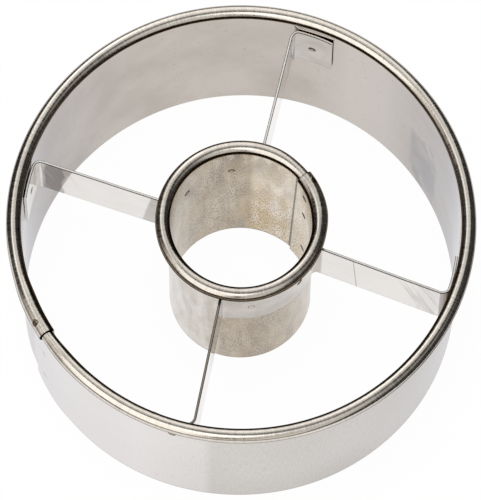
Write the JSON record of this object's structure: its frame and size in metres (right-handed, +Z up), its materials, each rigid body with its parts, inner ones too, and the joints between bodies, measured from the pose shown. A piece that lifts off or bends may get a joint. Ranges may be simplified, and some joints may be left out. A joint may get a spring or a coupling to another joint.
{
  "type": "doughnut cutter",
  "caption": "Stainless steel ring cutter: a large and a small rolled-rim hoop on one axis, joined by bent straps, for stamping rings of dough.",
  "frame": {"origin": "on the axis of the hoops, in the plane of the cutting edges", "axes": "+Z up along the axis to the rolled rims, the straps' middles at -45 and 135 degrees round Z, so the legs lie near -Y, +X, +Y and -X"},
  "size_m": [0.0888, 0.0888, 0.0392],
  "materials": {
    "hoop_steel": "bright rolled stainless sheet with faint grain",
    "strap_steel": "bright mirror-like stainless strip",
    "weld_steel": "dull heat-tinted weld"
  },
  "bodies": {
    "root": {"outer_ring": "hoop_steel", "inner_ring": "hoop_steel", "front_right_strap": "strap_steel", "back_left_strap": "strap_steel", "front_band_weld": "weld_steel", "front_foot_weld": "weld_steel", "right_band_weld": "weld_steel", "right_foot_weld": "weld_steel", "back_band_weld": "weld_steel", "back_foot_weld": "weld_steel", "left_band_weld": "weld_steel", "left_foot_weld": "weld_steel"}
  },
  "joints": []
}
